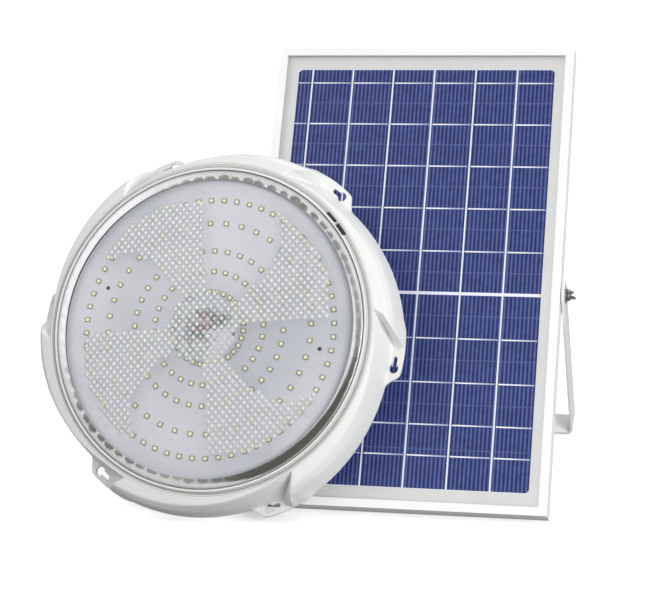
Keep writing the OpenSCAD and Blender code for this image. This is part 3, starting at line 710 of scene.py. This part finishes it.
def shoulder_tone(a, t):
    """Painted shade and light of the shoulder in direction a, where t goes from the bezel (0) to the face (1)."""
    number = np.floor(a / BEAD_PITCH)
    c = a / BEAD_PITCH - number
    odd = scatter(number, 12.9898, 43758.5453)
    even = scatter(number, 78.233, 24634.6345)
    beads, middle, wide = along(BEADED, a), along(BAND_MIDDLE, a), along(BAND_WIDE, a)
    bead = 1 - ((c - 0.35 - 0.3 * odd) / (0.38 + 0.14 * even)) ** 2
    bead = bead - ((t - middle - 0.12 * (odd - 0.5)) / (wide * (0.75 + 0.45 * even))) ** 2
    bead = soft_step(bead, -0.05, 0.3)
    plain = 1 - soft_step(np.abs(t - middle), wide * 0.85, wide * 0.85 + 0.14)
    rim = 1 - soft_step(np.abs(bead - 0.35), 0.12, 0.35)
    # Painted shade: the band with its beads, a line at the face and a thin line near the bezel. The base goes from
    # silver to pale where more light is painted.
    dark = along(BAND_SHADE, a) * (beads * (0.85 * bead + 0.3 * rim) + (1 - beads) * plain)
    line = along(FACE_SHADE_LINE, a) * soft_step(t, 0.9, 0.97)
    groove = 0.35 * (1 - soft_step(np.abs(t - 0.16), 0.02, 0.1))
    dark = np.clip(np.maximum(np.maximum(dark, line), groove), 0, 1)[..., None]
    shadow, pale, silver = (np.array(lin(c)) for c in ("50514b", "f4f6f8", "c3c4c1"))
    base = silver + (pale - silver) * along(SHOULDER_LIGHT, a)[..., None]
    return base + (shadow - base) * dark


def cover():
    """Clear shell with a rippled shoulder, on which shade and light are painted."""
    angles = np.arange(COVER_STEPS) * 360 / COVER_STEPS
    profile = COVER_WALL + SHOULDER + FACE[:0:-1] + [(0.6, 38.9)] + COVER_INSIDE
    first, last = len(COVER_WALL), len(COVER_WALL) + len(SHOULDER)
    points = revolve(profile, angles)
    ripple = np.abs(np.sin(np.pi * angles / 5.2))[:, None]
    swell = np.sin(np.linspace(0.15, 1, len(SHOULDER)) * np.pi)[None, :]
    points[:, first:last, 2] += 0.35 * (ripple - 0.5) * swell
    column = np.tile(np.arange(len(profile)), COVER_STEPS)
    index = np.where((column >= first - 1) & (column < last), 1, 0)
    ob = make(
        "cover_shell", points, ring_faces(COVER_STEPS, len(profile)), LAMP, ["cover", "shoulder"],
        "lamp", index=index, sharp=25, replaces=["clear_cover"],
    )
    t = np.zeros(len(profile))
    t[first - 1 : last + 1] = np.linspace(0, 1, len(SHOULDER) + 2)
    t[last + 1 :] = 1
    a, t = np.broadcast_arrays(angles[:, None], t[None, :])
    paint(ob, shoulder_tone(a, t))


# Staggered rows of prisms, turned by the petals' own angle: spacing, turn and height.
PRISM_X, PRISM_Y, PRISM_TURN, PRISM_H = 5.3, 3.05, 14.4, 0.35
# Corners of one prism as shares of its size, its base, then its cut top and its tip.
PRISM = [
    (-1, 0, 0), (0, -1, 0), (1, 0, 0), (0, 1, 0),
    (-0.55, 0, 0.7), (0, -0.55, 0.7), (0.55, 0, 0.7), (0, 0.55, 0.7), (0, 0, 1),
]
PRISM_FACES = [
    (0, 1, 5, 4), (1, 2, 6, 5), (2, 3, 7, 6), (3, 0, 4, 7), (4, 5, 8), (5, 6, 8), (6, 7, 8), (7, 4, 8),
]
# Rings of light chips: radius, number, first direction.
RINGS = [(93.4, 60, 0.7), (76.5, 40, 3.9), (56.2, 36, 9), (41.2, 30, 2), (26.4, 30, 6.4)]
# Dark parts seen through the middle, along and across the rows: low x, low y, width, height.
DARK_PARTS = [
    (-13, -9, 9, 7), (-3, -4, 8, 4), (5, 1, 12, 6), (-4, 7, 11, 3), (-9, -1, 4, 6), (0, -14, 5, 4),
]


def in_petal(r, a):
    """Whether the patterned part of the cover reaches this point."""
    b = a % 90
    lead = 14.4 + 0.6 * (r - 41) / 41
    trail = np.interp(r, [0, 41, 56, 76, 93, 97], [49, 49, 50.5, 56.5, 68, 74])
    return r < 90 + 6 * np.clip((b - 15) / 18, 0, 1) and lead < b < trail


def blend(low, high, t):
    return [p + (q - p) * t for p, q in zip(low, high)]


def petal_tones(a, near, chance):
    """Painted shade in the valleys and painted highlights on the tops, with a hint of any light chip below."""
    # The petals below 75 degrees get darker painted shade in their valleys.
    deep_shade = 0.75 if a < 75 else 0.3
    valley = blend(lin("bfc1c4"), lin("8d9194"), deep_shade * chance[0])
    slope = blend(lin("c6c8cb"), lin("d2d4d6"), chance[1])
    top = blend(lin("e6e8e8"), lin("fbfcfc"), chance[2])
    if near:
        slope, top = blend(slope, lin("cfcf9a"), 0.4), blend(top, lin("e6e6bc"), 0.4)
    return [valley] * 4 + [slope] * 4 + [top]


def middle_tones(u, v, chance):
    """Dark parts seen between the middle prisms, painted shade in the other valleys, painted highlights on the
    tops, and a reddish glow.
    """
    if u > 4 and v < -2:
        return [lin("c6c8cc")] * 4 + [lin("cccdd2")] * 4 + [lin("d4d5d9")]
    over = any(x - 2 < u < x + w + 2 and y - 2 < v < y + h + 2 for x, y, w, h in DARK_PARTS)
    valley = blend(lin("a5a9ab"), lin("6c7173"), chance[1])
    if over or chance[0] < 0.16:
        valley = lin("14181a")
    slope = blend(lin("d4d7d8"), lin("8b9092"), (0.75 if over else 0.25) * chance[2])
    top = blend(lin("f2f4f4"), lin("c2c6c8"), chance[3] * (0.8 if over else 0.3))
    if math.hypot(u - 1, v - 3) < 6:
        slope, top = blend(slope, lin("c08a8c"), 0.45), blend(top, lin("e0bcbc"), 0.45)
    tips = [blend(valley, slope, 0.5 * c) for c in (chance[1], chance[2], chance[3], chance[0])]
    return tips + [slope] * 4 + [top]


def prisms():
    """Small diamond prisms in four swept petals and a round middle. They cast no shadow on the board."""
    rng = np.random.default_rng(11)
    lights = [turned(r, 0, start + i * 360 / n) for r, n, start in RINGS for i in range(n)]
    points, faces, tones = [], [], []
    for j in range(-40, 41):
        for i in range(-24, 25):
            u, v = (i + 0.5 * (j % 2)) * PRISM_X, (j + 0.5) * PRISM_Y
            x, y = turned(u, v, PRISM_TURN)
            r, a = math.hypot(x, y), math.degrees(math.atan2(y, x)) % 360
            chance = rng.random(4)
            middle = r < 24.5 + 4 * (chance[3] < 0.5) * (u < 4)
            if not middle and not (r > 22 and in_petal(r, a)):
                continue
            base = len(points)
            for sx, sy, sz in PRISM:
                px, py = turned(u + sx * PRISM_X * 0.48, v + sy * PRISM_Y * 0.92, PRISM_TURN)
                points.append((px, py, float(face_z(math.hypot(px, py))) - 0.03 + PRISM_H * sz))
            faces += [[base + q for q in f] for f in PRISM_FACES]
            near = min(math.hypot(x - lx, y - ly) for lx, ly in lights) < 2.6
            tones += middle_tones(u, v, chance) if middle else petal_tones(a, near, chance)
    ob = make("cover_prisms", points, faces, LAMP, ["prism_painted_light"], "lamp", sharp=20)
    # The tones paint highlights on the prisms' tops and shade in their valleys.
    paint(ob, tones)
    ob.visible_shadow = False


# ---- light chips ----

BOARD_TOP = 29.0
CHIP_HALF, LENS_HALF, CHIP_H = 1.75, 1.02, 0.9


def chips():
    """Square light chips: an olive rim round a pale, slightly sunk lens."""
    loops = [
        (CHIP_HALF, 0.02), (CHIP_HALF, CHIP_H - 0.15), (CHIP_HALF - 0.15, CHIP_H),
        (LENS_HALF + 0.12, CHIP_H), (LENS_HALF, CHIP_H - 0.12), (LENS_HALF * 0.6, CHIP_H - 0.05),
    ]
    rim_loops = 3
    points, faces, index = [], [], []
    for radius, count, start in RINGS:
        for i in range(count):
            base = len(points)
            for s, z in loops:
                for sx, sy in ((-1, -1), (1, -1), (1, 1), (-1, 1)):
                    x, y = turned(radius + sx * s, sy * s, start + i * 360 / count)
                    points.append((x, y, BOARD_TOP + z))
            faces += tube_faces(base, 4, len(loops))
            index += [int(k >= rim_loops) for k in range(len(loops) - 1) for _ in range(4)]
            top = base + 4 * (len(loops) - 1)
            faces += [list(range(top, top + 4)), list(range(base, base + 4))[::-1]]
            index += [1, 0]
    make(
        "light_chip_array", points, faces, LAMP, ["chip_body", "chip_lens"], "lamp",
        index=index, sharp=30, replaces=["light_chips"],
    )


# ---- screws and wing bolts ----


def bridge(points, outer, inner, px, py):
    """Triangles between two loops about the same centre, both in order."""

    def turn_of(i):
        return math.atan2(points[i][1] - py, points[i][0] - px) % (2 * math.pi)

    def ordered(loop):
        angles = [turn_of(i) for i in loop]
        rising = sum(1 for a, b in zip(angles, angles[1:]) if b > a) > len(loop) / 2
        loop = loop if rising else loop[::-1]
        angles = [turn_of(i) for i in loop]
        k = angles.index(min(angles))
        return loop[k:] + loop[:k], rising

    a, keep = ordered(outer)
    b, _ = ordered(inner)
    faces, i, j = [], 0, 0
    ta = [turn_of(v) for v in a] + [turn_of(a[0]) + 2 * math.pi]
    tb = [turn_of(v) for v in b] + [turn_of(b[0]) + 2 * math.pi]
    while i < len(a) or j < len(b):
        if j >= len(b) or (i < len(a) and ta[i + 1] <= tb[j + 1]):
            f = [a[i % len(a)], a[(i + 1) % len(a)], b[j % len(b)]]
            i += 1
        else:
            f = [a[i % len(a)], b[(j + 1) % len(b)], b[j % len(b)]]
            j += 1
        faces.append(f if keep else f[::-1])
    return faces


def cross_screws(name, node, places, matrix, head, shank, up, body, mat):
    """Pan-head screws with a cross recess. Head and shank are (radius, length), and up is +1 if the head
    looks along +z."""
    (head_r, head_h), (shank_r, shank_h) = head, shank
    profile = [
        (shank_r, -shank_h), (shank_r, -0.02), (head_r, 0.0), (head_r, head_h * 0.35),
        (head_r * 0.92, head_h * 0.72), (head_r * 0.72, head_h * 0.93), (head_r * 0.55, head_h),
    ]
    sides = 32
    arm, reach = head_r * 0.13, head_r * 0.5
    cross = [
        turned(x, y, 90 * q)
        for q in range(4)
        for x, y in ((arm, -arm), (reach, -arm), (reach, arm))
    ]
    points, faces = [], []
    for px, py, pz in places:
        base = len(points)
        for r, z in profile:
            for q in range(sides):
                x, y = turned(r, 0, 360 * (q + 0.5) / sides)
                points.append((px + x, py + y * up, pz + z * up))
        faces += tube_faces(base, sides, len(profile))
        faces.append(list(range(base, base + sides))[::-1])
        rim = base + (len(profile) - 1) * sides
        low, m = len(points), len(cross)
        for z in (head_h, head_h * 0.3):
            points += [(px + x, py + y * up, pz + z * up) for x, y in cross]
        faces += bridge(points, list(range(rim, rim + sides)), list(range(low, low + m)), px, py)
        faces += tube_faces(low, m, 2)
        faces.append(list(range(low + m, low + 2 * m)))
    make(name, points, faces, matrix, [mat], body, replaces=[node])


# Thread, hub and one wing of a clamp bolt: radius and height along its axis, or distance out and height.
THREAD = [(2.5, -3.8)]
for k in range(9):
    start = -3.6 + k * 0.8
    THREAD += [(2.95, start), (2.95, start + 0.25), (2.62, start + 0.4), (2.62, start + 0.65)]
THREAD = [p for p in THREAD if p[1] < 3.7] + [(2.9, 3.75)]
HUB = [(3.9, 3.82), (4.4, 4.3), (4.4, 5.5), (4.1, 6.1), (3.4, 6.5), (2.6, 6.6)]
WING = [
    (2.4, 4.1), (4.6, 3.95), (6.9, 4.6), (8.4, 6.2), (8.75, 8.0), (8.2, 9.2), (7.0, 9.35), (5.6, 8.5),
    (4.4, 7.2), (3.0, 6.3),
]
# Layers across a wing's thickness: distance from its middle, share of its full size.
WING_LAYERS = [(-0.95, 0.84), (-0.75, 0.95), (-0.4, 1.0), (0.4, 1.0), (0.75, 0.95), (0.95, 0.84)]
# How far the bolt's frame lies in from the place where its joint is given.
JOINT_OUT = 0.5


def smooth_loop(shape, steps=4):
    """Closed curve through the points of a shape."""
    curve = []
    for i in range(len(shape)):
        p0, p1, p2, p3 = (np.array(shape[(i + k) % len(shape)]) for k in (-1, 0, 1, 2))
        for t in np.arange(steps) / steps:
            square = (2 * p0 - 5 * p1 + 4 * p2 - p3) * t * t
            cube = (3 * p1 - p0 - 3 * p2 + p3) * t**3
            curve.append(0.5 * (2 * p1 + (p2 - p0) * t + square + cube))
    return curve


def wing_bolt(name, side):
    """Clamp bolt: threaded shank, chamfered hub and two rounded wings."""
    centre = Vector(JOINTS[f"wing_{name}_turn"]["pos_m"]) - Vector((side * JOINT_OUT * MM, 0, 0))
    sides = 40
    points, faces = [], []

    def closed_tube(rows):
        base, count = len(points), len(rows[0])
        points.extend(p for row in rows for p in row)
        faces.extend(tube_faces(base, count, len(rows)))
        faces.append(list(range(base, base + count))[::-1])
        faces.append(list(range(len(points) - count, len(points))))

    for profile in (THREAD, HUB):
        closed_tube([around(r, z, [360 * q / sides for q in range(sides)]) for r, z in profile])
    curve = smooth_loop(WING)
    middle = np.mean(curve, 0)
    for s in (-1, 1):
        rows = []
        for y, share in WING_LAYERS:
            layer = [middle + (c - middle) * share for c in curve]
            rows.append([(s * c[0], y, c[1]) for c in layer])
        closed_tube(rows)
    make(
        f"wing_bolt_{name}_turned", points, faces, basis(centre, -side * panel_z, (side, 0, 0)), ["bolt"],
        f"wing_{name}", sharp=40, replaces=[f"wing_bolt_{name}"],
    )


# ---- CAD nodes that stay ----


def dress(node, mat, width):
    """Gives a carried CAD node its material and, where its edges are sharp, a small rounding."""
    ob = NODES[node]
    ob.data.materials.clear()
    ob.data.materials.append(M[mat])
    if not width:
        return
    if "custom_normal" in ob.data.attributes:
        ob.data.attributes.remove(ob.data.attributes["custom_normal"])
    ob.data.polygons.foreach_set("use_smooth", np.ones(len(ob.data.polygons), bool))
    weld = ob.modifiers.new("weld", "WELD")
    weld.merge_threshold = 0.000004
    bevel = ob.modifiers.new("bevel", "BEVEL")
    bevel.width = width * MM
    bevel.segments = 2
    bevel.limit_method = "ANGLE"
    bevel.angle_limit = math.radians(32)
    bevel.use_clamp_overlap = True
    normal = ob.modifiers.new("normals", "WEIGHTED_NORMAL")
    normal.keep_sharp = False


# Node, material, slot, width of the rounding.
CARRIED = [
    ("frame_top_rail", "frame", "frame_white", 0.35),
    ("frame_bottom_rail", "frame", "frame_white", 0.35),
    ("frame_left_rail", "frame", "frame_white", 0.35),
    ("frame_right_rail", "frame", "frame_white", 0.35),
    ("corner_keys", "key", "key_metal", 0.2),
    ("panel_glass", "glass", "clear_glass", 0.0),
    ("solar_cells", "cells", "silicon", 0.0),
    ("busbar_ribbons", "ribbon", "ribbon", 0.0),
    ("backsheet", "film", "white_film", 0.0),
    ("edge_seal", "seal", "sealant", 0.0),
    ("rivet_nuts", "steel", "fastener_steel", 0.15),
    ("junction_box", "black", "black_plastic", 0.5),
    ("junction_box_lid", "black", "black_plastic", 0.6),
    ("terminal_block", "parts", "black_plastic", 0.3),
    ("bypass_diode", "parts", "black_plastic", 0.0),
    ("panel_gland", "black", "black_plastic", 0.3),
    ("panel_cable", "rubber", "cable_black", 0.0),
    ("cable_ties", "tie", "tie_white", 0.4),
    ("panel_plug", "black", "black_plastic", 0.5),
    ("u_bracket", "strap", "strap_white", 0.3),
    ("washer_right", "steel", "fastener_steel", 0.2),
    ("washer_left", "steel", "fastener_steel", 0.2),
    ("back_plate", "plate", "plate_white", 0.5),
    ("cover_seal", "gasket", "seal_black", 0.0),
    ("catch_tongues", "parts", "part_black", 0.2),
    ("board_frame", "plate", "plate_white", 0.0),
    ("light_board", "board", "board_silver", 0.0),
    ("sensor_board", "white_board", "board_white", 0.2),
    ("sensor_parts", "parts", "part_black", 0.15),
    ("battery_cells", "wrap", "cell_blue", 0.3),
    ("battery_holder", "black", "black_plastic", 0.3),
    ("battery_tabs", "nickel", "nickel", 0.1),
    ("controller_board", "green", "board_green", 0.1),
    ("controller_parts", "parts", "part_black", 0.2),
    ("wire_harness", "wire", "wire_red", 0.0),
    ("lamp_gland", "black", "black_plastic", 0.3),
    ("lamp_cable", "rubber", "cable_black", 0.0),
    ("lamp_socket", "black", "black_plastic", 0.5),
]


# ---- stage ----


def floor():
    """Pale floor that looks evenly white to the camera and throws back little light."""
    n = Nodes("floor_white")
    ray = n.add("LightPath").outputs["Is Camera Ray"]
    tone = n.mix(n.noise(3, 2), [0.97, 0.97, 0.97], [1, 1, 1])
    both = n.add("AddShader")
    n.tree.links.new(n.add("BsdfDiffuse", Color=tone).outputs[0], both.inputs[0])
    n.tree.links.new(n.add("Emission", Color=[1, 1, 1], Strength=0.35).outputs[0], both.inputs[1])
    dim = n.add("BsdfDiffuse", Color=[0.36, 0.36, 0.36]).outputs[0]
    half, low = 12.0, -0.0002
    corners = [(x * half, y * half, low) for x, y in ((-1, -1), (1, -1), (1, 1), (-1, 1))]
    me = bpy.data.meshes.new("floor")
    me.from_pydata(corners, [], [[0, 1, 2, 3]])
    me.materials.append(n.finish(n.shaders(ray, dim, both.outputs[0])))
    ob = bpy.data.objects.new("floor", me)
    bpy.context.scene.collection.objects.link(ob)


def studio_room():
    """White to the camera, and a soft grey room to the object, brighter behind it."""
    world = bpy.data.worlds.new("studio")
    bpy.context.scene.world = world
    world.use_nodes = True
    tree = world.node_tree
    tree.nodes.clear()
    white, room, coord, split, rise, path, mix, out = (
        tree.nodes.new("ShaderNode" + kind)
        for kind in (
            "Background", "Background", "TexCoord", "SeparateXYZ", "MapRange", "LightPath", "MixShader",
            "OutputWorld",
        )
    )
    white.inputs["Color"].default_value = (1, 1, 1, 1)
    white.inputs["Strength"].default_value = 1.05
    for name, value in (("From Min", -1.0), ("From Max", 0.6), ("To Min", 0.42), ("To Max", 0.66)):
        rise.inputs[name].default_value = value
    tree.links.new(coord.outputs["Generated"], split.inputs[0])
    tree.links.new(split.outputs["Y"], rise.inputs["Value"])
    tree.links.new(rise.outputs[0], room.inputs["Strength"])
    tree.links.new(path.outputs["Is Camera Ray"], mix.inputs[0])
    tree.links.new(room.outputs[0], mix.inputs[1])
    tree.links.new(white.outputs[0], mix.inputs[2])
    tree.links.new(mix.outputs[0], out.inputs[0])


def area(name, place, target, size, power):
    """Round soft light that the camera does not see."""
    data = bpy.data.lights.new(name, "AREA")
    data.shape, data.size, data.energy = "DISK", size, power
    ob = bpy.data.objects.new(name, data)
    ob.location = place
    ob.rotation_mode = "QUATERNION"
    ob.rotation_quaternion = (Vector(target) - Vector(place)).to_track_quat("-Z", "Y")
    bpy.context.scene.collection.objects.link(ob)
    ob.visible_camera = False


# Camera: its place from the panel's origin in metres, the way it looks, and its upright.
CAMERA_AT = Vector((0.27939, -1.25118, 0.75397))
CAMERA_LOOK = Vector((-0.2234, 0.8821, -0.4147))
CAMERA_UP = Vector((-0.0258, 0.4200, 0.9072))


def camera():
    data = bpy.data.cameras.new("camera")
    data.lens, data.sensor_width, data.sensor_fit = 115.54, 36, "HORIZONTAL"
    data.clip_start, data.clip_end = 0.05, 50
    ob = bpy.data.objects.new("camera", data)
    forward = CAMERA_LOOK.normalized()
    up = (CAMERA_UP - CAMERA_UP.dot(forward) * forward).normalized()
    place = Matrix((forward.cross(up), up, -forward)).transposed().to_4x4()
    place.translation = panel_at + CAMERA_AT
    ob.matrix_world = place
    bpy.context.scene.collection.objects.link(ob)
    bpy.context.scene.camera = ob


for node, mat, slot, width in CARRIED:
    dress(node, mat, width)
# The right rail casts no shadow, so the white border beside it stays evenly lit.
NODES["frame_right_rail"].visible_shadow = False

housing()
bezel()
cover()
prisms()
chips()
cross_screws(
    "back_screw_heads", "back_screws", around(114.6, 1.95, [30 + 60 * k for k in range(6)]), LAMP,
    (2.8, 1.35), (1.25, 5.7), -1, "lamp", "steel",
)
cross_screws(
    "lid_screw_heads", "lid_screws", [(x, y, -4.1) for x in (-26.3, 26.3) for y in (306.7, 331.3)], PANEL,
    (2.0, 1.2), (0.9, 8.8), -1, "panel", "steel",
)
cross_screws(
    "board_screw_heads", "board_screws", around(84.6, 29.05, [0.5, 170]) + around(66.5, 29.05, [229]), LAMP,
    (1.25, 0.8), (1.15, 9.0), 1, "lamp", "parts",
)
wing_bolt("right", 1)
wing_bolt("left", -1)

floor()
studio_room()
area("key", (1.8, -1.6, 1.1), (0.0, 0.0, 0.12), 1.5, 47)
area("fill", (-1.6, -1.2, 2.1), (0.0, 0.0, 0.12), 1.8, 17)
area("rear", (0.3, 1.6, 1.6), (0.0, 0.0, 0.15), 1.4, 16)
camera()
bpy.context.scene.view_settings.view_transform = "Standard"
